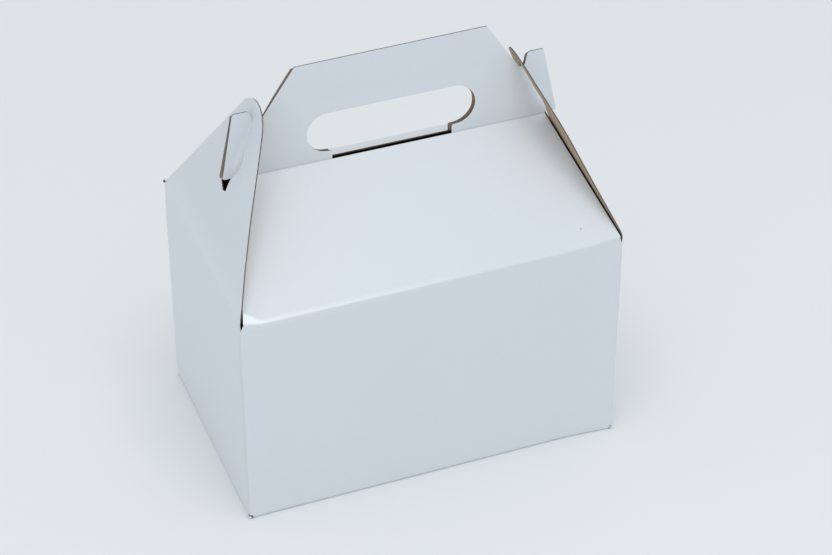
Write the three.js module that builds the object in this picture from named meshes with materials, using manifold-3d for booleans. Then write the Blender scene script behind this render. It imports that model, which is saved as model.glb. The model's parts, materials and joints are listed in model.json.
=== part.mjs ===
// Gable box of white-faced fine-flute board, folded from one blank, closed and latched.
// Millimetres, +Z up, origin at the middle of the underside. X runs along the box, -Y is the front.
import * as THREE from "three";
import { mergeVertices } from "three/addons/utils/BufferGeometryUtils.js";
import Module from "manifold-3d";

const wasm = await Module();
wasm.setup();

// Board
const BOARD = 1.2; // thickness of the fluted board
const LAYER_GAP = 0.3; // air between the two handle panels where they lie together
const CUT_GAP = 0.8; // air between a cut edge and the sheet beside it

// Body of the box, outside
const LENGTH = 205;
const WIDTH = 127;
const WALL_HEIGHT = 129.5; // floor to the creases at the top of the four walls
const CORNER_RADIUS = 1.6; // outside radius of the folded vertical corners
const FOLD_RADIUS = 2; // outside radius of the eave fold
const RIDGE_FOLD_RADIUS = 0.6; // inside of the fold where roof turns up into handle
const BASE_FOLD = 1; // rounding of the fold round the underside
const CORNER_CUT_DEPTH = 5; // how far the cut at each corner runs down past the crease

// Lean of the gable flaps over the roof ends, from upright
const LEFT_LEAN_DEG = 21.5;
const RIGHT_LEAN_DEG = 22.8;

// Roof panels, up to the ridge creases
const ROOF_RISE = 41.5; // wall crease to ridge crease
const RIDGE_SPREAD = 5; // outside to outside across the two ridge creases
const ROOF_END_GAP = 1.35; // air between the roof's end and the steeper flap, at the ridge

// Handle panels, heights above the ridge creases
const HANDLES_MEET_RISE = 34; // from here up the two handle panels lie flat together
const HANDLE_RISE = 57.6;
const HANDLE_TOP_HALF = 52.4; // half length of the handle's top edge
const HANDLE_CORNER_RADIUS = 1;

// Hooked ear at each end of a handle panel, measured outwards from the more upright flap's face
const EAR_FOOT_RISE = 0.6; // the ear's lower edge is cut this far above the ridge crease
const EAR_FOOT_REACH = 4.15;
const HOOK_RISE = 37.9;
const HOOK_REACH = 12.2;
const HOOK_WIDTH = 8.2;
const HOOK_CORNER_RADIUS = 1.5;
const HOOK_INNER_RADIUS = 3.5;
const NOTCH_RISE = 30.4;
const NOTCH_REACH = -0.8;
const NOTCH_WIDTH = 2.4;
const NOTCH_RADIUS = 1.1;

// Hand hole, heights above the ridge creases
const HOLE_HALF = 45.3;
const HOLE_RISE = 6.3;
const HOLE_HEIGHT = 22.3;
const HOLE_STEP_HALF = 32.3; // half length of the step that runs down through the crease
const HOLE_STEP_DROP = 0.6; // how far the step is cut below the ridge crease
const HOLE_STEP_RADIUS = 1;

// Slot in each gable flap that the ears pass through, measured in the flap's plane
const SLOT_FOOT_GAP = 7.7; // foot of the slot to foot of the ear
const SLOT_FOOT_CLEARANCE = 1; // air on each side of the two sheets at the ridge
const SLOT_FOOT_LENGTH = 7; // straight sides above the foot
const SLOT_BELLY_RISE = 21.5; // foot to the widest place
const SLOT_BELLY_HALF = 7.8;
const SLOT_NECK_CLEARANCE = 0.7; // air on each side of the two sheets under the hook
const SLOT_NECK_LENGTH = 12.4;
const SLOT_TOP_GAP = 1.4; // air above the hook as the flap swings over it

// Gable flaps, measured in their own plane
const FLAP_BASE_INSET = 0.5; // each end of the flap's base, inside the box's width
const FLAP_TIP_MARGIN = 6.1; // board left above the slot
const FLAP_SHOULDER_HALF = 17.5; // half width of the flap at its shoulders
const FLAP_SHOULDER_DROP = 12.5; // shoulders below the tip
const HINGE_GAP = 0.75; // air between the top of the side wall and the flap

// Base and glue seam
const DUST_FLAP_LENGTH = 62; // inner layer, folded in from each end
const BASE_SEAM = 0.8; // gap between the two outer base flaps
const GLUE_TAB_WIDTH = 24;
const GLUE_TAB_END_INSET = 8;

const ARC_STEPS = 6;
const OVERRUN = 1; // how far a joining or cutting solid runs past the face it works on
const WHITE = new THREE.MeshStandardMaterial({ name: "white_board", color: 0xd3dae2, roughness: 0.55, metalness: 0 });

const halfLength = LENGTH / 2;
const halfWidth = WIDTH / 2;
const ridgeHeight = WALL_HEIGHT + ROOF_RISE;
const uprightLean = THREE.MathUtils.degToRad(Math.min(LEFT_LEAN_DEG, RIGHT_LEAN_DEG));
const steepLean = THREE.MathUtils.degToRad(Math.max(LEFT_LEAN_DEG, RIGHT_LEAN_DEG));

// Distance from the middle of the box to a leaning flap's outer face, at a height above the wall crease.
const flapFace = (rise, lean) => halfLength - rise * Math.tan(lean);
const roofEndAtRidge = flapFace(ROOF_RISE, steepLean) - BOARD / Math.cos(steepLean) - ROOF_END_GAP;
const earFootOut = flapFace(ROOF_RISE, uprightLean) + EAR_FOOT_REACH;
const hookOut = flapFace(ROOF_RISE + HOOK_RISE, uprightLean) + HOOK_REACH;
const hookIn = hookOut - HOOK_WIDTH;
const notchOut = flapFace(ROOF_RISE + NOTCH_RISE, uprightLean) + NOTCH_REACH;
const notchIn = notchOut - NOTCH_WIDTH;
const handlesHalf = BOARD + LAYER_GAP / 2;

// The slot's foot lies under the ear's foot, and its top clears the hook's inner corner in the swing.
const slotLow = (ROOF_RISE + EAR_FOOT_RISE) / Math.cos(uprightLean) - SLOT_FOOT_GAP;
const slotTop = Math.hypot(halfLength - hookIn, ROOF_RISE + HOOK_RISE) + SLOT_TOP_GAP;
const flapTip = slotTop + FLAP_TIP_MARGIN;

// Draws a closed outline with its corners rounded. Each corner is [x, y, radius], in order.
function roundedOutline(corners, path) {
  const count = corners.length;
  for (let i = 0; i < count; i += 1) {
    const [x, y, radius = 0] = corners[i];
    const corner = new THREE.Vector2(x, y);
    const before = new THREE.Vector2(...corners[(i + count - 1) % count]).sub(corner).normalize();
    const after = new THREE.Vector2(...corners[(i + 1) % count]).sub(corner).normalize();
    const halfAngle = Math.acos(THREE.MathUtils.clamp(before.dot(after), -1, 1)) / 2;
    if (radius === 0) {
      if (i === 0) path.moveTo(x, y);
      else path.lineTo(x, y);
      continue;
    }
    const reach = radius / Math.tan(halfAngle);
    const start = corner.clone().addScaledVector(before, reach);
    const end = corner.clone().addScaledVector(after, reach);
    const middle = before.clone().add(after).normalize();
    const centre = corner.clone().addScaledVector(middle, radius / Math.sin(halfAngle));
    const startAngle = Math.atan2(start.y - centre.y, start.x - centre.x);
    const endAngle = Math.atan2(end.y - centre.y, end.x - centre.x);
    const clockwise = before.cross(after) > 0;
    if (i === 0) path.moveTo(start.x, start.y);
    else path.lineTo(start.x, start.y);
    path.absarc(centre.x, centre.y, radius, startAngle, endAngle, clockwise);
  }
  path.closePath();
  return path;
}

// Moves an open line of points sideways by a distance, to the left of its direction.
function besideLine(points, distance) {
  const normals = points.slice(1).map(([x, y], i) => {
    const along = new THREE.Vector2(x - points[i][0], y - points[i][1]).normalize();
    return new THREE.Vector2(-along.y, along.x);
  });
  return points.map(([x, y], i) => {
    const first = normals[Math.max(i - 1, 0)];
    const second = normals[Math.min(i, normals.length - 1)];
    const shared = first.clone().add(second).normalize();
    const reach = distance / shared.dot(first);
    return [x + shared.x * reach, y + shared.y * reach];
  });
}

function solidOf(geometry) {
  const bare = geometry.clone();
  bare.deleteAttribute("normal");
  bare.deleteAttribute("uv");
  const merged = mergeVertices(bare, 1e-4);
  return new wasm.Manifold(
    new wasm.Mesh({
      numProp: 3,
      vertProperties: merged.attributes.position.array,
      triVerts: new Uint32Array(merged.index.array),
    }),
  );
}

function geometryOf(solid) {
  const { vertProperties, triVerts } = solid.getMesh();
  const geometry = new THREE.BufferGeometry();
  geometry.setAttribute("position", new THREE.BufferAttribute(vertProperties, 3));
  geometry.setIndex(new THREE.BufferAttribute(triVerts, 1));
  geometry.computeVertexNormals();
  return geometry;
}

function boxBetween([x0, y0, z0], [x1, y1, z1]) {
  const box = new THREE.BoxGeometry(x1 - x0, y1 - y0, z1 - z0);
  box.translate((x0 + x1) / 2, (y0 + y1) / 2, (z0 + z1) / 2);
  return solidOf(box);
}

// Extrudes an outline drawn in Y and Z along X, centred.
function alongX(shape, length) {
  const geometry = new THREE.ExtrudeGeometry(shape, {
    depth: length,
    bevelEnabled: false,
    curveSegments: ARC_STEPS,
  });
  geometry.translate(0, 0, -length / 2);
  geometry.rotateX(Math.PI / 2);
  geometry.rotateZ(Math.PI / 2);
  return solidOf(geometry);
}

// Extrudes an outline drawn in X and Z along Y, from one Y to a larger one.
function alongY(shape, fromY, toY) {
  const geometry = new THREE.ExtrudeGeometry(shape, {
    depth: toY - fromY,
    bevelEnabled: false,
    curveSegments: ARC_STEPS,
  });
  geometry.rotateX(Math.PI / 2);
  geometry.translate(0, toY, 0);
  return solidOf(geometry);
}

function footprint(inset, radius) {
  const x = halfLength - inset;
  const y = halfWidth - inset;
  return roundedOutline([[-x, -y, radius], [x, -y, radius], [x, y, radius], [-x, y, radius]], new THREE.Shape());
}

// Four walls with rounded corners on a folded base, up to the foot of the corner cuts.
function wallsAndBase() {
  const top = WALL_HEIGHT - CORNER_CUT_DEPTH;
  const outer = new THREE.ExtrudeGeometry(footprint(BASE_FOLD, CORNER_RADIUS - BASE_FOLD / 2), {
    depth: top + OVERRUN,
    bevelThickness: BASE_FOLD,
    bevelSize: BASE_FOLD,
    bevelSegments: 3,
    curveSegments: ARC_STEPS,
  });
  outer.translate(0, 0, BASE_FOLD);
  const inner = new THREE.ExtrudeGeometry(footprint(BOARD, CORNER_RADIUS - BOARD), {
    depth: WALL_HEIGHT,
    bevelEnabled: false,
    curveSegments: ARC_STEPS,
  });
  inner.translate(0, 0, BOARD);
  const above = boxBetween([-LENGTH, -WIDTH, top], [LENGTH, WIDTH, WALL_HEIGHT * 2]);
  return solidOf(outer).subtract(solidOf(inner)).subtract(above);
}

// Inner layer of the base: a dust flap from each end, lying on the two outer base flaps.
function dustFlap(side) {
  const wall = side * (halfLength - BOARD / 2);
  const tip = side * (halfLength - DUST_FLAP_LENGTH);
  const y = halfWidth - BOARD / 2;
  return boxBetween([Math.min(wall, tip), -y, BOARD / 2], [Math.max(wall, tip), y, BOARD * 2]);
}

// Side wall above the foot of the corner cuts, up to just under its flap.
function sideWallTop(side) {
  const outer = side * halfLength;
  const inner = side * (halfLength - BOARD);
  const y = halfWidth - CORNER_RADIUS - CUT_GAP;
  const low = WALL_HEIGHT - CORNER_CUT_DEPTH - OVERRUN;
  return boxBetween([Math.min(outer, inner), -y, low], [Math.max(outer, inner), y, WALL_HEIGHT - HINGE_GAP]);
}

// Glue tab inside the back right corner.
function glueTab() {
  const x = halfLength - BOARD / 2;
  const y = halfWidth - BOARD / 2;
  return boxBetween(
    [x - GLUE_TAB_WIDTH - BOARD / 2, y - BOARD * 1.5, BOARD * 2 + GLUE_TAB_END_INSET],
    [x, y, WALL_HEIGHT - GLUE_TAB_END_INSET],
  );
}

// Front sheet in side view: wall top, eave fold, roof, ridge fold and handle panel.
function frontSection() {
  const low = WALL_HEIGHT - CORNER_CUT_DEPTH - OVERRUN;
  const outer = [
    [-halfWidth, low],
    [-halfWidth, WALL_HEIGHT],
    [-RIDGE_SPREAD / 2, ridgeHeight],
    [-handlesHalf, ridgeHeight + HANDLES_MEET_RISE],
    [-handlesHalf, ridgeHeight + HANDLE_RISE],
  ];
  const inner = besideLine(outer, -BOARD);
  const outerRadii = [0, FOLD_RADIUS, RIDGE_FOLD_RADIUS, 0, 0];
  const innerRadii = [0, FOLD_RADIUS - BOARD, RIDGE_FOLD_RADIUS + BOARD, 0, 0];
  const corners = [
    ...outer.map((point, i) => [...point, outerRadii[i]]),
    ...inner.map((point, i) => [...point, innerRadii[i]]).reverse(),
  ];
  return roundedOutline(corners, new THREE.Shape());
}

// The same sheet in front view: roof panel with sloping ends, handle panel with ears and hand hole.
function frontOutline() {
  const roofEnd = halfLength - CORNER_RADIUS;
  const low = WALL_HEIGHT - CORNER_CUT_DEPTH - OVERRUN * 2;
  const rightSide = [
    [roofEnd, low],
    [roofEnd, WALL_HEIGHT],
    [roofEndAtRidge, ridgeHeight],
    [roofEndAtRidge, ridgeHeight + EAR_FOOT_RISE],
    [earFootOut, ridgeHeight + EAR_FOOT_RISE, HANDLE_CORNER_RADIUS],
    [hookOut, ridgeHeight + HOOK_RISE, HOOK_CORNER_RADIUS],
    [hookIn, ridgeHeight + HOOK_RISE, HOOK_INNER_RADIUS],
    [notchOut, ridgeHeight + NOTCH_RISE, NOTCH_RADIUS],
    [notchIn, ridgeHeight + NOTCH_RISE, NOTCH_RADIUS],
    [HANDLE_TOP_HALF, ridgeHeight + HANDLE_RISE, HANDLE_CORNER_RADIUS],
  ];
  const leftSide = rightSide.map(([x, z, radius = 0]) => [-x, z, radius]).reverse();
  const shape = roundedOutline([...rightSide, ...leftSide], new THREE.Shape());
  const holeLow = ridgeHeight + HOLE_RISE;
  const holeHigh = holeLow + HOLE_HEIGHT;
  const endRadius = HOLE_HEIGHT / 2;
  const holeRight = [
    [HOLE_STEP_HALF, ridgeHeight - HOLE_STEP_DROP],
    [HOLE_STEP_HALF, holeLow, HOLE_STEP_RADIUS],
    [HOLE_HALF, holeLow, endRadius],
    [HOLE_HALF, holeHigh, endRadius],
  ];
  const holeLeft = holeRight.map(([x, z, radius = 0]) => [-x, z, radius]).reverse();
  shape.holes.push(roundedOutline([...holeRight, ...holeLeft], new THREE.Path()));
  return shape;
}

function cartonBody() {
  const front = alongX(frontSection(), LENGTH).intersect(alongY(frontOutline(), -halfWidth - OVERRUN, 0));
  const back = front.mirror([0, 1, 0]);
  const seam = boxBetween(
    [-halfLength + CORNER_RADIUS, -BASE_SEAM / 2, -OVERRUN],
    [halfLength - CORNER_RADIUS, BASE_SEAM / 2, BOARD],
  );
  const body = [dustFlap(-1), dustFlap(1), sideWallTop(-1), sideWallTop(1), glueTab(), front, back].reduce(
    (whole, piece) => whole.add(piece),
    wallsAndBase(),
  );
  return geometryOf(body.subtract(seam));
}

// Flap drawn flat: two straight edges from the base to the shoulders, joined by an arc at the tip.
function flapOutline() {
  const base = halfWidth - FLAP_BASE_INSET;
  const edge = new THREE.Vector2(FLAP_SHOULDER_HALF - base, flapTip - FLAP_SHOULDER_DROP);
  const peak = (base * edge.y) / -edge.x;
  const halfAngle = Math.atan2(-edge.x, edge.y);
  const tipRadius = ((peak - flapTip) * Math.sin(halfAngle)) / (1 - Math.sin(halfAngle));
  const shape = roundedOutline([[-base, 0], [base, 0], [0, peak, tipRadius]], new THREE.Shape());
  shape.holes.push(slotOutline());
  return shape;
}

// Slot with a square foot, a belly and a narrow neck with a round top.
function slotOutline() {
  const footHalf = RIDGE_SPREAD / 2 + SLOT_FOOT_CLEARANCE;
  const neckHalf = handlesHalf + SLOT_NECK_CLEARANCE;
  const footTop = slotLow + SLOT_FOOT_LENGTH;
  const belly = slotLow + SLOT_BELLY_RISE;
  const neck = slotTop - SLOT_NECK_LENGTH;
  const bellyReach = (belly - footTop) / 2;
  const neckReach = (neck - belly) / 2;
  const slot = new THREE.Path();
  slot.moveTo(-footHalf, slotLow);
  slot.lineTo(footHalf, slotLow);
  slot.lineTo(footHalf, footTop);
  slot.bezierCurveTo(footHalf, footTop + bellyReach, SLOT_BELLY_HALF, belly - bellyReach, SLOT_BELLY_HALF, belly);
  slot.bezierCurveTo(SLOT_BELLY_HALF, belly + neckReach, neckHalf, neck - neckReach, neckHalf, neck);
  slot.absarc(0, slotTop - neckHalf, neckHalf, 0, Math.PI, false);
  slot.lineTo(-neckHalf, neck);
  slot.bezierCurveTo(-neckHalf, neck - neckReach, -SLOT_BELLY_HALF, belly + neckReach, -SLOT_BELLY_HALF, belly);
  slot.bezierCurveTo(-SLOT_BELLY_HALF, belly - bellyReach, -footHalf, footTop + bellyReach, -footHalf, footTop);
  slot.closePath();
  return slot;
}

// A flap stands on its hinge crease with the white face outwards and leans in over the roof end.
function gableFlap(name, side, leanDeg) {
  const sheet = new THREE.ExtrudeGeometry(flapOutline(), {
    depth: BOARD,
    bevelEnabled: false,
    curveSegments: ARC_STEPS,
  });
  sheet.rotateX(Math.PI / 2);
  sheet.rotateZ(Math.PI / 2);
  const flap = new THREE.Mesh(sheet, WHITE);
  flap.name = name;
  flap.position.set(side * halfLength, 0, WALL_HEIGHT);
  flap.rotation.order = "ZYX";
  flap.rotation.z = side > 0 ? Math.PI : 0;
  flap.rotation.y = THREE.MathUtils.degToRad(leanDeg);
  return flap;
}

const gableBox = new THREE.Group();
const body = new THREE.Mesh(cartonBody(), WHITE);
body.name = "carton_body";
gableBox.add(body);
gableBox.add(gableFlap("left_gable_flap", -1, LEFT_LEAN_DEG));
gableBox.add(gableFlap("right_gable_flap", 1, RIGHT_LEAN_DEG));

export default gableBox;
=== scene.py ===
"""Looks of a gable box: a blank of white-faced fine-flute board, cut flat and then folded up.

The blank is drawn flat in millimetres. Across it runs p, round the four walls, and up it runs s, from
the base flaps over walls and roof to the top of the handle. fold() carries each point to its place.
"""

import json
import math

import bmesh
import bpy
from mathutils import Matrix, Vector


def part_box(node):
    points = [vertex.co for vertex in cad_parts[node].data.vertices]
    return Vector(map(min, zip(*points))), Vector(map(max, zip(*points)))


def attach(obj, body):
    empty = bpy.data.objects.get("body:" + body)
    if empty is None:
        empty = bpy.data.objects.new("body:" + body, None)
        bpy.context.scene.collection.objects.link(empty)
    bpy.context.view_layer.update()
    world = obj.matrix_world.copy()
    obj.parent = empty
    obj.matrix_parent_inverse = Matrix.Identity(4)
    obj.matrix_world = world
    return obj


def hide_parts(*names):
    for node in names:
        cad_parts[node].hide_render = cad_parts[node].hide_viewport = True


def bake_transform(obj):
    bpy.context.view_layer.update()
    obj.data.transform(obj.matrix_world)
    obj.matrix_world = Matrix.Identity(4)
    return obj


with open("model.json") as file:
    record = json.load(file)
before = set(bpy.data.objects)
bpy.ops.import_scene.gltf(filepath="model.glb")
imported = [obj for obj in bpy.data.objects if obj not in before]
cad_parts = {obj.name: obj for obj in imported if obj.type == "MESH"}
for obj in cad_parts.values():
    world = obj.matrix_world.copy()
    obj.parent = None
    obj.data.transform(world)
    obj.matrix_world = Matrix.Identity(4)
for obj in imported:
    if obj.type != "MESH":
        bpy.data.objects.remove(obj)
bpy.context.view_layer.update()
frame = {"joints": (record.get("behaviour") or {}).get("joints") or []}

MM = 0.001

# Camera
CAMERA_PLACE = Vector((-0.3955, -1.0749, 0.9555))
CAMERA_RIGHT = Vector((0.934637, -0.355603, 0.000380))
CAMERA_UP = Vector((0.214940, 0.565781, 0.796048))
CAMERA_LENS_MM = 118.0
SENSOR_WIDTH_MM = 36.0


def make_camera():
    lens = bpy.data.cameras.new("camera")
    lens.sensor_width = SENSOR_WIDTH_MM
    lens.lens = CAMERA_LENS_MM
    lens.clip_start = 0.01
    lens.clip_end = 20
    camera = bpy.data.objects.new("camera", lens)
    bpy.context.scene.collection.objects.link(camera)
    back = CAMERA_RIGHT.cross(CAMERA_UP).normalized()
    axes = Matrix((CAMERA_RIGHT, back.cross(CAMERA_RIGHT), back)).transposed().to_4x4()
    camera.matrix_world = Matrix.Translation(CAMERA_PLACE) @ axes
    bpy.context.scene.camera = camera


make_camera()

# Sizes that the frame gives
body_low, body_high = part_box("carton_body")
joints = {joint["name"]: joint for joint in frame["joints"]}
LENGTH = (body_high.x - body_low.x) / MM
WIDTH = (body_high.y - body_low.y) / MM
WALL_HEIGHT = joints["left_flap_hinge"]["pos_m"][2] / MM
HANDLE_TOP = body_high.z / MM
HALF_LENGTH = LENGTH / 2
HALF_WIDTH = WIDTH / 2

# Board
BOARD = 0.6
GRAIN_PITCH = 2.4
HANDLE_GAP = 1.1

# Folds
CORNER_RADIUS = 1.6
BASE_RADIUS = 1.6
EAVE_RADIUS = 1.6
RIDGE_RADIUS = 0.6
MEET_BEND = 1.0
GABLE_RADIUS = 2.5
CORNER_CUT_DEPTH = 5.0
CORNER_CUT_HALF = 0.2
CORNER_CUT_SHOULDER = 1.2
ARC_CUTS = 5
STRAIGHT_TURN = 0.03

# Roof and handle
ROOF_RISE = 41.5
BACK_SAG = 1.8
RIDGE_SPREAD = 5.0
ROOF_END_AT_EAVE = 100.8
HANDLES_MEET_RISE = 34.0
HANDLE_CORNER_RADIUS = 1.0
EAR_FOOT_RISE = 0.6
EAR_FOOT_OUT = 90.3
HOOK_RISE = 37.9
HOOK_CORNER_RADIUS = 1.5
HOOK_INNER_RADIUS = 2.0
NOTCH_RISE = 30.4
NOTCH_RADIUS = 1.1

# The two ends of roof and handle, from the middle of the box: they differ a little
LEFT_END = {
    "roof": -82.6,
    "hook_out": -83.4,
    "hook_in": -75.2,
    "notch_out": -72.2,
    "notch_in": -69.4,
    "top": -50.6,
}
RIGHT_END = {
    "roof": 83.8,
    "hook_out": 82.7,
    "hook_in": 74.0,
    "notch_out": 72.4,
    "notch_in": 69.2,
    "top": 51.2,
}

# Hand hole
HOLE_HALF = 45.3
HOLE_RISE = 4.7
HOLE_HEIGHT = 22.3
HOLE_STEP_HALF = 32.3
HOLE_STEP_DROP = 0.3
HOLE_STEP_RADIUS = 1.0
HOLE_ROUND_MARGIN = 0.01

# Gable flaps, in their own plane above the hinge crease
LEFT_LEAN = math.radians(21.5)
RIGHT_LEAN = math.radians(22.0)
FLAP_BASE_HALF = HALF_WIDTH - 0.5
FLAP_PEAK = 106.2
FLAP_TIP_RADIUS = 18.4
FLAP_TIP_FORWARD = 1.0
FLAP_FOOT_IN = 0.2
FLAP_FOOT_DROP = 1.0
FLAP_FOOT_RISE = 0.5
SLOT_LOW = 37.1
SLOT_FOOT_RISE = 1.2
SLOT_FOOT_HALF = 3.2
SLOT_FOOT_BACK = 2.1
SLOT_FOOT_BACK_RISE = 3.0
SLOT_FOOT_TOP = 42.0
SLOT_BELLY = 58.0
SLOT_BELLY_HALF = 8.7
SLOT_NECK = 67.8
SLOT_NECK_HALF = 4.3
SLOT_TOP = 79.9

# Base and glue seam
BASE_SEAM = 0.8
BASE_CUT_TOP = BASE_RADIUS * 1.5
BASE_FLAP_INSET = 3.5
BASE_FLAP_TAPER = 1.0
DUST_FLAP_TAPER = 4.0
DUST_FLAP_LENGTH = 58.0
DUST_BEND = 1.0
DUST_RAMP = 3.0
DUST_RAMP_ANGLE = math.radians(22)
SEAM_SETBACK = 0.6
TAB_DROP = BOARD + 0.15
TAB_WIDTH = 22.0
TAB_TAPER = 8.0
TAB_SLANT = 4.0

# Small bends of the real box
FRONT_LEFT_OUT = -1.2
RIGHT_OUT = 0.1
BACK_LEFT_EDGE_OUT = -0.9
RIGHT_EDGE_OUT = 0.6
CREASE_PULL = 0.6
CREASE_PULL_DEPTH = 18.0
EDGE_RAMP = 15.0
FRONT_OUT = 1.0
FRONT_BULGE = 0.8
BACK_OUT = 1.4
FOOT_IN = 0.9
FOOT_IN_SLOPE = 0.7
EAVE_SINK = 1.6
LEFT_EAVE_RAMP = 12.0
RIGHT_EAVE_RAMP = 30.0
LEFT_FLAP_BOW = 0.9
LEFT_BOW_STARTS = (0, 25)
LEFT_BOW_ENDS = (35, 80)
RIGHT_TIP_IN = 1.9
RIGHT_TIP_IN_RISES = (45, 95)
RIGHT_TIP_DROP = 1.5
RIGHT_TIP_DROP_RISES = (50, 90)
BACK_EAR_SHIFT = -0.3
BACK_HANDLE_SHIFT = -0.9
BACK_HANDLE_RAMP = 15.0
BACK_HOLE_EXTRA = 1.3
BACK_STEP_EXTRA = 1.1
HANDLE_TILT = 0.0002

# Painted highlight along the eave crease and over its left corner, and painted shade along the ridge, beside
# the front-left corner and over the left flap, all laid on the white face
EAVE_HIGHLIGHT_HALF = 0.9
EAVE_HIGHLIGHT_LEVEL = 0.3
EAVE_HIGHLIGHT_FADE = 0.75
RIDGE_SHADE_HALF = 0.45
RIDGE_SHADE = 0.35
CORNER_SHADE = 0.07
CORNER_SHADE_HALF = 3.0
FLAP_SHADE = 0.055
FLAP_SHADE_SPAN = (-2, 18)
# A small triangle of roof at the left end of the front eave, painted fully with highlight; its cuts give the
# mesh vertices there
CORNER_HIGHLIGHT_LENGTH = 14.0
CORNER_HIGHLIGHT_RISE = 6.5
CORNER_HIGHLIGHT_MARGIN = 0.05
CORNER_HIGHLIGHT_CUTS = 5

# Crumpled bits and specks of dirt
LUMP_UNEVENNESS = 0.18

# Floor, in metres
FLOOR_REACH = 4
FLOOR_DROP = 0.00003

# Cells of the sheet, and how far the grid stays from each fold
GRID_STEP = 8.0
GRID_FROM_BASE = 2.0
GRID_FROM_CREASE = 2.0
GRID_FROM_EAVE = 4.0
GRID_FROM_RIDGE = 3.0
SHARP_FROM = math.radians(40)
CORNER_LINES = (3.0, 6.0, 9.0, 12.0)
QUARTER = math.pi / 2


def arc_points(centre, radius, start, end, steps=10):
    """Points on an arc, both ends included, in a flat drawing."""
    found = []
    for i in range(steps + 1):
        angle = start + (end - start) * i / steps
        found.append((centre[0] + radius * math.cos(angle), centre[1] + radius * math.sin(angle)))
    return found


def rounded(corners, steps=8):
    """A closed outline from corners (x, y) or (x, y, radius)."""
    found = []
    count = len(corners)
    for i, corner in enumerate(corners):
        here = Vector(corner[:2])
        radius = corner[2] if len(corner) > 2 else 0
        if radius == 0:
            found.append((here.x, here.y))
            continue
        before = (Vector(corners[i - 1][:2]) - here).normalized()
        after = (Vector(corners[(i + 1) % count][:2]) - here).normalized()
        half = before.angle(after) / 2
        centre = here + (before + after).normalized() * (radius / math.sin(half))
        start = here + before * (radius / math.tan(half)) - centre
        end = here + after * (radius / math.tan(half)) - centre
        first = math.atan2(start.y, start.x)
        sweep = math.atan2(start.cross(end), start.dot(end))
        found += arc_points(centre, radius, first, first + sweep, steps)
    return found


def bezier(a, b, c, d, steps=8):
    """Points on a cubic curve after its first point."""
    found = []
    for i in range(1, steps + 1):
        t = i / steps
        u = 1 - t
        found.append(
            tuple(a[k] * u**3 + 3 * b[k] * u * u * t + 3 * c[k] * u * t * t + d[k] * t**3 for k in (0, 1))
        )
    return found


class Profile:
    """The side view of one strip of the blank, as runs of a length and a turn.

    It starts at the tip of the base flap. out is the distance beyond the wall's outer face.
    """

    def __init__(self, start, runs, wall_run):
        self.runs = []
        place = Vector(start)
        angle = 0.0
        s = 0.0
        for length, turn in runs:
            self.runs.append((s, length, place.copy(), angle, turn))
            place = self.along(place, angle, length, turn, length)[0]
            angle += turn
            s += length
        wall = self.runs[wall_run]
        shift = wall[2].y - wall[0]
        self.shift = shift
        self.breaks = [run[0] + shift for run in self.runs] + [s + shift]
        self.arcs = [(run[0] + shift, run[1]) for run in self.runs if abs(run[4]) > STRAIGHT_TURN]

    @staticmethod
    def along(place, angle, length, turn, distance):
        if turn == 0:
            return place + Vector((math.cos(angle), math.sin(angle))) * distance, angle
        bend = turn / length
        new = angle + bend * distance
        step = Vector((math.sin(new) - math.sin(angle), math.cos(angle) - math.cos(new))) / bend
        return place + step, new

    def at(self, s):
        """(out, z) of the outer face at s, and its outward normal in the same view."""
        s -= self.shift
        chosen = self.runs[0]
        for run in self.runs:
            if s >= run[0]:
                chosen = run
        place, angle = self.along(chosen[2], chosen[3], chosen[1], chosen[4], s - chosen[0])
        return place, Vector((math.sin(angle), -math.cos(angle)))

    def lines(self):
        """Heights of the fold lines and of the cuts across each arc."""
        found = set(round(b, 4) for b in self.breaks[1:-1])
        for start, length in self.arcs:
            found |= set(round(start + length * i / ARC_CUTS, 4) for i in range(ARC_CUTS + 1))
        return found


def tangent(radius, turn):
    return radius * math.tan(abs(turn) / 2)


def front_profile(sag=0):
    """Base flap, wall, roof and handle panel of the front strip, or of the back one, which sags."""
    handles_half = BOARD + HANDLE_GAP / 2
    rise = ROOF_RISE - sag
    roof_run = HALF_WIDTH - RIDGE_SPREAD / 2
    slope = math.atan2(rise, roof_run)
    roof_length = math.hypot(rise, roof_run)
    eave_turn = QUARTER - slope
    lean = math.atan2(RIDGE_SPREAD / 2 - handles_half, HANDLES_MEET_RISE)
    ridge_turn = QUARTER - lean - slope
    eave = tangent(EAVE_RADIUS, eave_turn)
    ridge = tangent(RIDGE_RADIUS + BOARD, ridge_turn)
    lower_handle = math.hypot(HANDLES_MEET_RISE, RIDGE_SPREAD / 2 - handles_half)
    upper_handle = HANDLE_TOP - WALL_HEIGHT - ROOF_RISE - HANDLES_MEET_RISE
    base_length = HALF_WIDTH - BASE_SEAM / 2 - BASE_RADIUS
    runs = [
        (base_length, 0),
        (BASE_RADIUS * QUARTER, QUARTER),
        (WALL_HEIGHT - BASE_RADIUS - eave, 0),
        (EAVE_RADIUS * eave_turn, eave_turn),
        (roof_length - eave - ridge, 0),
        ((RIDGE_RADIUS + BOARD) * ridge_turn, -ridge_turn),
        (lower_handle - ridge, 0),
        (MEET_BEND, -lean),
        (upper_handle - MEET_BEND / 2, 0),
    ]
    return Profile((-HALF_WIDTH + BASE_SEAM / 2, 0), runs, wall_run=2)


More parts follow.
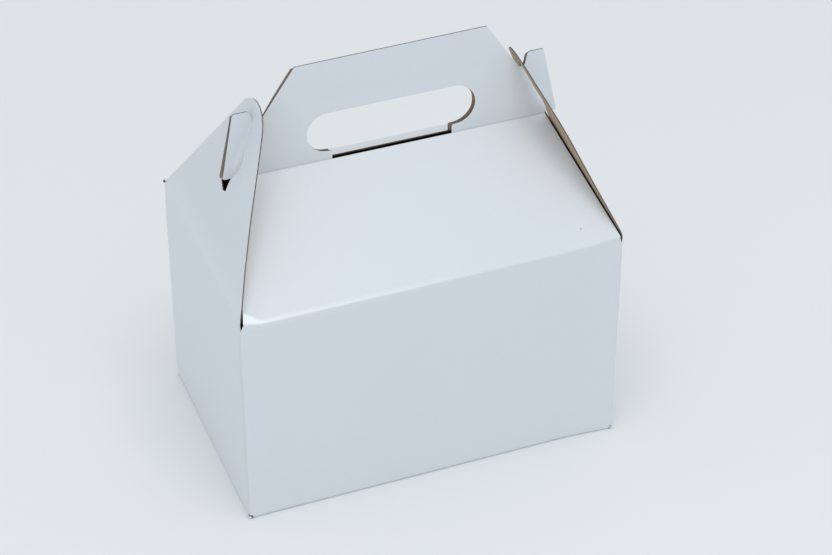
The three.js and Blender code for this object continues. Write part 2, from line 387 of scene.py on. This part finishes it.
def side_profile(lean):
    """Dust flap, wall and gable flap of a side strip."""
    bend_radius = DUST_BEND / DUST_RAMP_ANGLE
    drop = DUST_RAMP * math.sin(DUST_RAMP_ANGLE)
    drop += (bend_radius + BASE_RADIUS) * (1 - math.cos(DUST_RAMP_ANGLE))
    fold = tangent(GABLE_RADIUS, lean)
    reach = DUST_FLAP_LENGTH + DUST_RAMP * math.cos(DUST_RAMP_ANGLE)
    reach += BASE_RADIUS * (1 + math.sin(DUST_RAMP_ANGLE))
    runs = [
        (DUST_FLAP_LENGTH - DUST_BEND, 0),
        (DUST_BEND, -DUST_RAMP_ANGLE),
        (DUST_RAMP, 0),
        (BASE_RADIUS * (QUARTER + DUST_RAMP_ANGLE), QUARTER + DUST_RAMP_ANGLE),
        (WALL_HEIGHT - BASE_RADIUS - fold, 0),
        (GABLE_RADIUS * lean, lean),
        (FLAP_PEAK - fold, 0),
    ]
    return Profile((-reach, drop), runs, wall_run=4)


class Panel:
    """One strip of the blank with its wall's middle, direction along the wall and outward direction."""

    def __init__(self, name, start, half, middle, along, outward, profile, free_start=None, tab_end=False):
        self.name = name
        self.half = half
        self.flat_half = half - CORNER_RADIUS
        corner = CORNER_RADIUS * QUARTER / 2
        low = self.flat_half + corner if free_start is None else half - free_start
        self.start = start
        self.centre = start + low
        self.end = self.centre + self.flat_half + corner
        self.tab_end = tab_end
        if tab_end:
            self.end = self.centre + self.flat_half - TAB_DROP + CORNER_RADIUS * QUARTER + TAB_WIDTH
        self.middle = Vector(middle)
        self.along = Vector(along)
        self.outward = Vector(outward)
        self.profile = profile

    def wrap(self, a):
        """Place in plan and outward normal of the wall's outer face, at a from the wall's middle."""
        side = 1 if a >= 0 else -1
        flat = self.flat_half - (TAB_DROP if self.tab_end and side > 0 else 0)
        over = abs(a) - flat
        if over <= 0:
            return self.middle + self.along * a, self.outward
        angle = min(over / CORNER_RADIUS, QUARTER)
        rest = max(over - CORNER_RADIUS * QUARTER, 0)
        reach = flat + CORNER_RADIUS * math.sin(angle)
        drop = CORNER_RADIUS * (1 - math.cos(angle)) + rest
        place = self.middle + self.along * (side * reach) - self.outward * drop
        return place, self.outward * math.cos(angle) + self.along * (side * math.sin(angle))

    def lines(self):
        """Distances p at which the strip is cut for its corner folds and its grid."""
        found = set()
        for side in (-1, 1):
            flat = self.flat_half - (TAB_DROP if self.tab_end and side > 0 else 0)
            for i in range(ARC_CUTS + 1):
                found.add(self.centre + side * (flat + CORNER_RADIUS * QUARTER * i / ARC_CUTS))
        for reach in CORNER_LINES:
            found.add(self.centre - self.flat_half + reach)
            found.add(self.centre + self.flat_half - reach)
        count = round(2 * self.flat_half / GRID_STEP)
        for i in range(count + 1):
            found.add(self.centre + self.flat_half * (2 * i / count - 1))
        return set(round(p, 4) for p in found if self.start < p < self.end)


front_strip = front_profile()
back_strip = front_profile(BACK_SAG)
left_strip = side_profile(LEFT_LEAN)
right_strip = side_profile(RIGHT_LEAN)
back = Panel("back", 0, HALF_LENGTH, (0, HALF_WIDTH), (-1, 0), (0, 1), back_strip, free_start=SEAM_SETBACK)
left = Panel("left", back.end, HALF_WIDTH, (-HALF_LENGTH, 0), (0, -1), (-1, 0), left_strip)
front = Panel("front", left.end, HALF_LENGTH, (0, -HALF_WIDTH), (1, 0), (0, -1), front_strip)
right = Panel("right", front.end, HALF_WIDTH, (HALF_LENGTH, 0), (0, 1), (1, 0), right_strip, tab_end=True)
PANELS = (back, left, front, right)

EAVE_S = (front_strip.breaks[3] + front_strip.breaks[4]) / 2
CUT_S = WALL_HEIGHT - CORNER_CUT_DEPTH


def smooth(edge0, edge1, value):
    t = max(0.0, min(1.0, (value - edge0) / (edge1 - edge0)))
    return t * t * (3 - 2 * t)


def warp(place, panel, s):
    """Small bends of the real box: walls that lean out at the top, a sunk eave and bowed flaps."""
    x, y, z = place
    u = x / HALF_LENGTH
    v = y / HALF_WIDTH
    lean = max(0.0, min(1.0, z / WALL_HEIGHT)) ** 1.5 * (1 - smooth(WALL_HEIGHT, WALL_HEIGHT + ROOF_RISE, z))
    foot = max(0.0, 1 - z / WALL_HEIGHT) ** 2
    above = 1 - smooth(WALL_HEIGHT, WALL_HEIGHT + ROOF_RISE, z)
    bulge = smooth(0, EDGE_RAMP, z) * above
    ramp = LEFT_EAVE_RAMP if x < 0 else RIGHT_EAVE_RAMP
    middle = smooth(0, ramp, HALF_LENGTH - abs(x))
    side_v = max(-1.0, min(1.0, v))
    if x < 0:
        shift = lean * FRONT_LEFT_OUT * (1 - side_v) / 2
        shift += bulge * BACK_LEFT_EDGE_OUT * (1 + side_v) / 2
    else:
        shift = lean * RIGHT_OUT + above * RIGHT_EDGE_OUT
    shift *= 1 - CREASE_PULL * smooth(WALL_HEIGHT - CREASE_PULL_DEPTH, WALL_HEIGHT, z)
    out = Vector((shift * abs(u), 0, 0))
    if v < 0:
        out.y += v * lean * (FRONT_OUT + FRONT_BULGE * middle)
        out.y -= v * foot * middle * (FOOT_IN + FOOT_IN_SLOPE * u)
    else:
        out.y += v * lean * BACK_OUT
    out.z -= EAVE_SINK * middle * lean * abs(side_v)
    rise = s - WALL_HEIGHT
    above_ridge = z - WALL_HEIGHT - ROOF_RISE
    if panel is left and rise > 0:
        out.x -= LEFT_FLAP_BOW * smooth(*LEFT_BOW_STARTS, rise) * (1 - smooth(*LEFT_BOW_ENDS, rise))
    if panel is right and rise > 0:
        out.x -= RIGHT_TIP_IN * smooth(*RIGHT_TIP_IN_RISES, rise)
        out.z -= RIGHT_TIP_DROP * smooth(*RIGHT_TIP_DROP_RISES, rise)
    if panel is back:
        out.x += BACK_EAR_SHIFT * smooth(0, ROOF_RISE, z - WALL_HEIGHT)
        out.x += BACK_HANDLE_SHIFT * smooth(NOTCH_RISE, NOTCH_RISE + BACK_HANDLE_RAMP, above_ridge)
    if panel in (front, back) and above_ridge > 0:
        out.z += HANDLE_TILT * x * above_ridge
    return Vector(place) + out


def fold(p, s, depth):
    """Carries a point of the flat blank to its place in the folded box."""
    panel = next((n for n in PANELS if p <= n.end + 1e-6), PANELS[-1])
    plan, facing = panel.wrap(p - panel.centre)
    side, normal = panel.profile.at(s)
    plan = plan + facing * (side.x - depth * normal.x)
    return warp((plan.x, plan.y, side.y - depth * normal.y), panel, s) * MM


def painted_light_at(p, s):
    """How far a painted highlight makes the white face lighter, and how far painted shade makes it darker.
    """
    panel = next((n for n in PANELS if p <= n.end + 1e-6), PANELS[-1])
    if panel in (left, right):
        if panel is right:
            return 0.0, 0.0
        # Painted shade: a soft dark band beside the left wall's front corner, and an even darkening of the
        # left flap above its crease
        beside = (panel.end - p) / CORNER_SHADE_HALF
        flap = FLAP_SHADE * smooth(*FLAP_SHADE_SPAN, s - WALL_HEIGHT)
        return 0.0, max(flap, CORNER_SHADE * math.exp(-beside * beside))
    # Painted highlight along the eave crease, full at the box's left end and gone before its right end
    across = (p - panel.centre) * (1 if panel is front else -1)
    fade = max(0.0, min(1.0, EAVE_HIGHLIGHT_LEVEL - EAVE_HIGHLIGHT_FADE * across / HALF_LENGTH))
    painted_highlight = fade * math.exp(-(((s - EAVE_S) / EAVE_HIGHLIGHT_HALF) ** 2))
    reach = 1 - (HALF_LENGTH + across) / CORNER_HIGHLIGHT_LENGTH
    rise = (s - EAVE_S) / CORNER_HIGHLIGHT_RISE
    # Painted highlight over the small triangle at the left end of the front eave
    if panel is front and reach > 0 and 0 <= rise <= reach + CORNER_HIGHLIGHT_MARGIN:
        painted_highlight = 1.0
    # Painted shade along the ridge crease
    painted_shade = RIDGE_SHADE * math.exp(-(((s - ridge_of(panel)) / RIDGE_SHADE_HALF) ** 2))
    return painted_highlight, painted_shade


def flat_sheet(outline, holes, across, up):
    """A flat blank with clean cells between the given grid lines, then given its thickness."""
    bm = bmesh.new()
    for loop in [outline, *holes]:
        verts = [bm.verts.new((x, y, 0)) for x, y in loop]
        for i, vert in enumerate(verts):
            bm.edges.new((vert, verts[(i + 1) % len(verts)]))
    bmesh.ops.triangle_fill(bm, use_beauty=True, use_dissolve=False, edges=bm.edges[:], normal=(0, 0, 1))
    for values, normal in ((across, (1, 0, 0)), (up, (0, 1, 0))):
        for value in sorted(values):
            everything = bm.verts[:] + bm.edges[:] + bm.faces[:]
            bmesh.ops.bisect_plane(
                bm, geom=everything, dist=1e-4, plane_co=Vector(normal) * value, plane_no=normal
            )
    near = 1e-3
    spare = []
    for edge in bm.edges:
        one, two = (v.co for v in edge.verts)
        straight = abs(one.x - two.x) < near or abs(one.y - two.y) < near
        if len(edge.link_faces) == 2 and not straight:
            spare.append(edge)
    bmesh.ops.dissolve_edges(bm, edges=spare, use_verts=False)
    loose = [v for v in bm.verts if len(v.link_edges) == 2 and not v.is_boundary]
    bmesh.ops.dissolve_verts(bm, verts=loose)
    for face in bm.faces:
        if face.normal.z < 0:
            face.normal_flip()
    bmesh.ops.solidify(bm, geom=bm.faces[:], thickness=BOARD)
    return bm


def folded_piece(name, outline, holes, across, up):
    """Cuts, thickens and folds one part of the blank, as an object with its three finishes."""
    bm = flat_sheet(outline, holes, across, up)
    lowest = min(v.co.z for v in bm.verts)
    highest = max(v.co.z for v in bm.verts)
    middle = (lowest + highest) / 2
    uv = bm.loops.layers.uv.new("UVMap")
    bm.normal_update()
    for face in bm.faces:
        if abs(face.normal.z) < 0.5:
            face.material_index = 2
        else:
            face.material_index = 0 if face.normal.z > 0 else 1
        for loop in face.loops:
            co = loop.vert.co
            if face.material_index == 2:
                loop[uv].uv = (co.x / GRAIN_PITCH, 0.0 if co.z > middle else 1.0)
            else:
                loop[uv].uv = (co.x / GRAIN_PITCH, co.y / GRAIN_PITCH)
    # Amounts of painted highlight and painted shade at each vertex, read by the white face's material
    painted_highlight = bm.verts.layers.float.new("painted_highlight")
    painted_shade = bm.verts.layers.float.new("painted_shade")
    for vert in bm.verts:
        depth = 0 if vert.co.z > middle else BOARD
        vert[painted_highlight], vert[painted_shade] = painted_light_at(vert.co.x, vert.co.y)
        vert.co = fold(vert.co.x, vert.co.y, depth)
    mesh = bpy.data.meshes.new(name)
    bm.to_mesh(mesh)
    bm.free()
    mesh.shade_smooth()
    mesh.set_sharp_from_angle(angle=SHARP_FROM)
    piece = bpy.data.objects.new(name, mesh)
    bpy.context.scene.collection.objects.link(piece)
    for material in (WHITE_FACE, KRAFT_FACE, CUT_EDGE):
        mesh.materials.append(material)
    return piece


def grid_up(low, high):
    count = max(1, round((high - low) / GRID_STEP))
    return set(round(low + (high - low) * i / count, 4) for i in range(1, count))


def ridge_of(panel):
    return (panel.profile.breaks[5] + panel.profile.breaks[6]) / 2


def roof_and_handle(panel):
    """Outline of the roof and handle panel, from its left corner cut to its right one."""
    ridge = ridge_of(panel)
    eave = panel.flat_half - CORNER_CUT_HALF

    def one_end(side, end):
        return [
            (side * eave, WALL_HEIGHT - CORNER_CUT_SHOULDER),
            (side * ROOF_END_AT_EAVE, EAVE_S),
            (end["roof"], ridge),
            (end["roof"], ridge + EAR_FOOT_RISE),
            (side * EAR_FOOT_OUT, ridge + EAR_FOOT_RISE, HANDLE_CORNER_RADIUS),
            (end["hook_out"], ridge + HOOK_RISE, HOOK_CORNER_RADIUS),
            (end["hook_in"], ridge + HOOK_RISE, HOOK_INNER_RADIUS),
            (end["notch_out"], ridge + NOTCH_RISE, NOTCH_RADIUS),
            (end["notch_in"], ridge + NOTCH_RISE, NOTCH_RADIUS),
            (end["top"], panel.profile.breaks[-1], HANDLE_CORNER_RADIUS),
        ]

    world_left = one_end(-1, LEFT_END)
    world_right = one_end(1, RIGHT_END)
    if panel is back:
        turned = [(-c[0], *c[1:]) for c in world_right]
        world_right = [(-c[0], *c[1:]) for c in world_left]
        world_left = turned
    return [(panel.centre + c[0], *c[1:]) for c in world_left + world_right[::-1]]


def hand_hole(panel):
    ridge = ridge_of(panel)
    low = ridge + HOLE_RISE
    radius = HOLE_HEIGHT / 2 - HOLE_ROUND_MARGIN
    height = HOLE_HEIGHT + (BACK_HOLE_EXTRA if panel is back else 0)
    drop = HOLE_STEP_DROP + (BACK_STEP_EXTRA if panel is back else 0)
    half = [
        (HOLE_STEP_HALF, ridge - drop),
        (HOLE_STEP_HALF, low, HOLE_STEP_RADIUS),
        (HOLE_HALF, low, radius),
        (HOLE_HALF, low + height, radius),
    ]
    left_half = [(-c[0], *c[1:]) for c in half]
    return rounded([(panel.centre + c[0], *c[1:]) for c in half + left_half[::-1]])


def base_flap(panel):
    """Outline of a base flap, from right to left."""
    taper = BASE_FLAP_TAPER if panel in (front, back) else DUST_FLAP_TAPER
    foot = panel.flat_half - BASE_FLAP_INSET
    half = [
        (panel.flat_half, BASE_CUT_TOP),
        (foot, -BASE_RADIUS - BASE_FLAP_INSET),
        (foot - taper, panel.profile.breaks[0]),
    ]
    return [(panel.centre + a, s) for a, s in half + [(-a, s) for a, s in half[::-1]]]


def body_outline():
    """The whole blank but for the gable flaps: up its free edge, along the top and back along the foot."""
    tab_fold = right.centre + right.flat_half - TAB_DROP + CORNER_RADIUS * QUARTER
    outline = [
        (back.start, BASE_CUT_TOP),
        (back.start, CUT_S),
        *roof_and_handle(back),
        (back.end, CUT_S),
        (left.end, CUT_S),
        *roof_and_handle(front),
        (front.end, CUT_S),
        (tab_fold - CORNER_RADIUS * QUARTER / 2, CUT_S),
        (tab_fold, CUT_S - TAB_TAPER),
        (right.end, CUT_S - TAB_TAPER - TAB_SLANT),
        (right.end, TAB_TAPER + TAB_SLANT),
        (tab_fold, TAB_TAPER),
    ]
    for panel in PANELS[::-1]:
        if panel is not right:
            outline.append((panel.end, BASE_CUT_TOP))
        outline += base_flap(panel)
    return rounded(outline)


def gable_flap(panel, name):
    """A gable flap with the strip of side wall down to the foot of the corner cuts."""
    half_base = FLAP_BASE_HALF
    forward = FLAP_TIP_FORWARD if panel is left else -FLAP_TIP_FORWARD
    start, end = panel.start - panel.centre, panel.end - panel.centre
    if panel.tab_end:
        end = panel.flat_half - TAB_DROP + CORNER_RADIUS * QUARTER / 2
    corners = [
        (start, CUT_S),
        (end, CUT_S),
        (half_base - FLAP_FOOT_IN, WALL_HEIGHT - FLAP_FOOT_DROP),
        (half_base, WALL_HEIGHT + FLAP_FOOT_RISE),
        (forward, WALL_HEIGHT + FLAP_PEAK, FLAP_TIP_RADIUS),
        (-half_base, WALL_HEIGHT + FLAP_FOOT_RISE),
        (-half_base + FLAP_FOOT_IN, WALL_HEIGHT - FLAP_FOOT_DROP),
    ]
    outline = rounded([(panel.centre + c[0], *c[1:]) for c in corners], steps=24)
    side = 1 if panel is left else -1
    hole = [(panel.centre + side * a, WALL_HEIGHT + v) for a, v in slot_outline()]
    up = panel.profile.lines()
    up |= grid_up(WALL_HEIGHT + GRID_FROM_CREASE, WALL_HEIGHT + FLAP_PEAK - FLAP_TIP_RADIUS)
    up = set(s for s in up if s > CUT_S)
    return folded_piece(name, outline, [hole], panel.lines(), up)


def slot_outline():
    """The slot for the ears, with +a towards the front; its foot reaches further back than forward."""
    right_half = [(SLOT_FOOT_HALF, SLOT_FOOT_TOP)]
    reach = (SLOT_BELLY - SLOT_FOOT_TOP) / 2
    right_half += bezier(
        (SLOT_FOOT_HALF, SLOT_FOOT_TOP),
        (SLOT_FOOT_HALF, SLOT_FOOT_TOP + reach),
        (SLOT_BELLY_HALF, SLOT_BELLY - reach),
        (SLOT_BELLY_HALF, SLOT_BELLY),
    )
    reach = (SLOT_NECK - SLOT_BELLY) / 2
    right_half += bezier(
        (SLOT_BELLY_HALF, SLOT_BELLY),
        (SLOT_BELLY_HALF, SLOT_BELLY + reach),
        (SLOT_NECK_HALF, SLOT_NECK - reach),
        (SLOT_NECK_HALF, SLOT_NECK),
    )
    right_half += arc_points((0, SLOT_TOP - SLOT_NECK_HALF), SLOT_NECK_HALF, 0, QUARTER, 6)
    foot = [
        (-SLOT_FOOT_HALF - SLOT_FOOT_BACK, SLOT_LOW + SLOT_FOOT_BACK_RISE),
        (0, SLOT_LOW),
        (SLOT_FOOT_HALF, SLOT_LOW + SLOT_FOOT_RISE),
    ]
    return foot + right_half + [(-a, v) for a, v in right_half[-2::-1]]


def plain_material(name, colour, roughness):
    material = bpy.data.materials.new(name)
    material.use_nodes = True
    shader = material.node_tree.nodes["Principled BSDF"]
    shader.inputs["Base Color"].default_value = (*colour, 1)
    shader.inputs["Roughness"].default_value = roughness
    return material


def fibre_group():
    """Noise of paper fibres on the piece's own coordinates, in metres: a tone about 0.5 and a height."""
    group = bpy.data.node_groups.new("paper_fibres", "ShaderNodeTree")
    face = group.interface
    scale = face.new_socket("Fibres per metre", in_out="INPUT", socket_type="NodeSocketFloat")
    scale.default_value = 900
    face.new_socket("Tone", in_out="OUTPUT", socket_type="NodeSocketFloat")
    face.new_socket("Height", in_out="OUTPUT", socket_type="NodeSocketFloat")
    nodes, links = group.nodes, group.links
    inside = nodes.new("NodeGroupInput")
    outside = nodes.new("NodeGroupOutput")
    place = nodes.new("ShaderNodeTexCoord")
    stretch = nodes.new("ShaderNodeMapping")
    stretch.inputs["Scale"].default_value = (0.35, 1, 1)
    fine = nodes.new("ShaderNodeTexNoise")
    fine.inputs["Detail"].default_value = 3
    cloud = nodes.new("ShaderNodeTexNoise")
    cloud.inputs["Scale"].default_value = 14
    cloud.inputs["Detail"].default_value = 2
    mix = nodes.new("ShaderNodeMath")
    mix.operation = "ADD"
    half = nodes.new("ShaderNodeMath")
    half.operation = "MULTIPLY"
    half.inputs[1].default_value = 0.5
    links.new(place.outputs["Object"], stretch.inputs["Vector"])
    links.new(stretch.outputs["Vector"], fine.inputs["Vector"])
    links.new(place.outputs["Object"], cloud.inputs["Vector"])
    links.new(inside.outputs["Fibres per metre"], fine.inputs["Scale"])
    links.new(fine.outputs["Fac"], mix.inputs[0])
    links.new(cloud.outputs["Fac"], mix.inputs[1])
    links.new(mix.outputs["Value"], half.inputs[0])
    links.new(half.outputs["Value"], outside.inputs["Tone"])
    links.new(fine.outputs["Fac"], outside.inputs["Height"])
    return group


FIBRES = fibre_group()


def paper_material(name, dark, light, roughness, fibres_per_metre, relief, painted_layers=()):
    """Paper between two colours, with a fibre grain whose relief is in metres.

    Each painted layer is a colour of painted highlight or painted shade, laid over it as far as the named
    attribute of the mesh says.
    """
    material = bpy.data.materials.new(name)
    material.use_nodes = True
    nodes, links = material.node_tree.nodes, material.node_tree.links
    shader = nodes["Principled BSDF"]
    shader.inputs["Roughness"].default_value = roughness
    grain = nodes.new("ShaderNodeGroup")
    grain.node_tree = FIBRES
    grain.inputs["Fibres per metre"].default_value = fibres_per_metre
    ramp = nodes.new("ShaderNodeValToRGB")
    ramp.color_ramp.elements[0].position = 0.3
    ramp.color_ramp.elements[0].color = (*dark, 1)
    ramp.color_ramp.elements[1].position = 0.7
    ramp.color_ramp.elements[1].color = (*light, 1)
    bump = nodes.new("ShaderNodeBump")
    bump.inputs["Strength"].default_value = 1
    bump.inputs["Distance"].default_value = relief
    links.new(grain.outputs["Tone"], ramp.inputs["Fac"])
    tone = ramp.outputs["Color"]
    for attribute, colour in painted_layers:
        layer = nodes.new("ShaderNodeAttribute")
        layer.attribute_name = attribute
        painted_mix = nodes.new("ShaderNodeMix")
        painted_mix.data_type = "RGBA"
        painted_mix.inputs["B"].default_value = (*colour, 1)
        links.new(layer.outputs["Fac"], painted_mix.inputs["Factor"])
        links.new(tone, painted_mix.inputs["A"])
        tone = painted_mix.outputs["Result"]
    links.new(tone, shader.inputs["Base Color"])
    links.new(grain.outputs["Height"], bump.inputs["Height"])
    links.new(bump.outputs["Normal"], shader.inputs["Normal"])
    return material


WHITE_FACE = paper_material(
    "white_face",
    (0.690, 0.732, 0.774),
    (0.704, 0.746, 0.786),
    roughness=0.34,
    fibres_per_metre=500,
    relief=0.00001,
    # Painted layers: a pale painted highlight and a dark painted shade, laid where the mesh attributes say
    painted_layers=(("painted_highlight", (0.88, 0.92, 0.95)), ("painted_shade", (0.12, 0.13, 0.14))),
)
KRAFT_FACE = paper_material(
    "kraft_face",
    (0.40, 0.29, 0.195),
    (0.50, 0.37, 0.26),
    roughness=0.85,
    fibres_per_metre=900,
    relief=0.00005,
)
# Cut edges and small dark bits: kraft brown darkened to the tone the edges have in shade, so partly painted
# shade; the dirt specks and torn corner use it too
CUT_EDGE = paper_material(
    "cut_edge",
    (0.085, 0.066, 0.054),
    (0.17, 0.135, 0.108),
    roughness=0.9,
    fibres_per_metre=1400,
    relief=0.00008,
)

across_all = set().union(*(panel.lines() for panel in PANELS))
up_all = front_strip.lines() | back_strip.lines() | left_strip.lines() | right_strip.lines()
# Extra cuts at the left end of the front eave, where the painted highlight triangle lies
up_all |= set(EAVE_S + CORNER_HIGHLIGHT_RISE * i / CORNER_HIGHLIGHT_CUTS for i in range(2, CORNER_HIGHLIGHT_CUTS + 1))
up_all |= grid_up(BASE_RADIUS + GRID_FROM_BASE, CUT_S)
up_all |= grid_up(EAVE_S + GRID_FROM_EAVE, ridge_of(back) - GRID_FROM_RIDGE)
up_all |= grid_up(ridge_of(front) + GRID_FROM_RIDGE, front_strip.breaks[-1])
holes = [hand_hole(front), hand_hole(back)]
carton = folded_piece("carton_sheet", body_outline(), holes, across_all, up_all)
left_flap = gable_flap(left, "left_flap_sheet")
right_flap = gable_flap(right, "right_flap_sheet")

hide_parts("carton_body")
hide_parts("left_gable_flap")
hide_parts("right_gable_flap")
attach(carton, "carton")
for piece, body, side in ((left_flap, "left_flap", -1), (right_flap, "right_flap", 1)):
    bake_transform(piece)


def small_lump(name, place, size, material, turn=0.0):
    """A crumpled bit of board or a speck of dirt: a small uneven lump, with its sizes in millimetres."""
    bm = bmesh.new()
    bmesh.ops.create_icosphere(bm, subdivisions=2, radius=0.5)
    for vert in bm.verts:
        x, y, z = vert.co
        wave = 1 + LUMP_UNEVENNESS * math.sin(9 * x + 4 * y) * math.cos(7 * z + turn)
        vert.co = Vector((x * size[0], y * size[1], z * size[2])) * wave
    bmesh.ops.rotate(bm, verts=bm.verts[:], cent=(0, 0, 0), matrix=Matrix.Rotation(turn, 3, "Z"))
    for vert in bm.verts:
        vert.co = (vert.co + Vector(place)) * MM
    mesh = bpy.data.meshes.new(name)
    bm.to_mesh(mesh)
    bm.free()
    mesh.shade_smooth()
    lump = bpy.data.objects.new(name, mesh)
    bpy.context.scene.collection.objects.link(lump)
    mesh.materials.append(material)
    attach(lump, "carton")


small_lump("torn_back_corner", (-102.9, 64.3, 130.4), (1.3, 1.2, 1.8), CUT_EDGE, 0.4)
small_lump("crushed_front_left_foot", (-102.0, -62.9, 0.8), (1.9, 1.6, 1.3), WHITE_FACE, 0.3)
small_lump("crushed_front_right_foot", (102.2, -62.9, 0.75), (2.0, 1.5, 1.2), WHITE_FACE, 0.2)
small_lump("speck_on_wall", (47.5, -64.0, 83.0), (0.5, 0.25, 0.5), CUT_EDGE)
small_lump("speck_on_roof", (82.0, -56.8, 134.2), (0.55, 0.5, 0.3), CUT_EDGE)


def make_floor():
    bm = bmesh.new()
    bmesh.ops.create_grid(bm, x_segments=2, y_segments=2, size=FLOOR_REACH)
    bmesh.ops.translate(bm, verts=bm.verts[:], vec=(0, 0, -FLOOR_DROP))
    mesh = bpy.data.meshes.new("floor")
    bm.to_mesh(mesh)
    bm.free()
    floor = bpy.data.objects.new("floor", mesh)
    bpy.context.scene.collection.objects.link(floor)
    mesh.materials.append(plain_material("pale_floor", (0.830, 0.848, 0.858), 0.9))


make_floor()


def area_light(name, place, size, power, aim_height=0.1, colour=(1, 1, 1)):
    """A soft rectangular lamp, in metres and watts, aimed at a height on the middle of the box."""
    data = bpy.data.lights.new(name, "AREA")
    data.shape = "RECTANGLE"
    data.size, data.size_y = size
    data.energy = power
    data.color = colour
    light = bpy.data.objects.new(name, data)
    light.location = place
    light.rotation_euler = (Vector((0, 0, aim_height)) - Vector(place)).to_track_quat("-Z", "Y").to_euler()
    bpy.context.scene.collection.objects.link(light)


area_light("overhead_softbox", (-0.12, -0.55, 1.85), size=(1.4, 1.2), power=9.2, colour=(1, 0.98, 0.95))
area_light("front_softbox", (0.6, -1.75, 0.6), size=(0.7, 1.2), power=0.95, aim_height=0.05)
area_light("left_fill", (-1.35, -1.1, 0.5), size=(0.8, 0.6), power=1.1, colour=(1, 0.96, 0.93))
world = bpy.data.worlds.new("studio")
world.use_nodes = True
world.node_tree.nodes["Background"].inputs["Color"].default_value = (0.915, 0.96, 1, 1)
world.node_tree.nodes["Background"].inputs["Strength"].default_value = 0.76
bpy.context.scene.world = world
bpy.context.scene.view_settings.view_transform = "Standard"
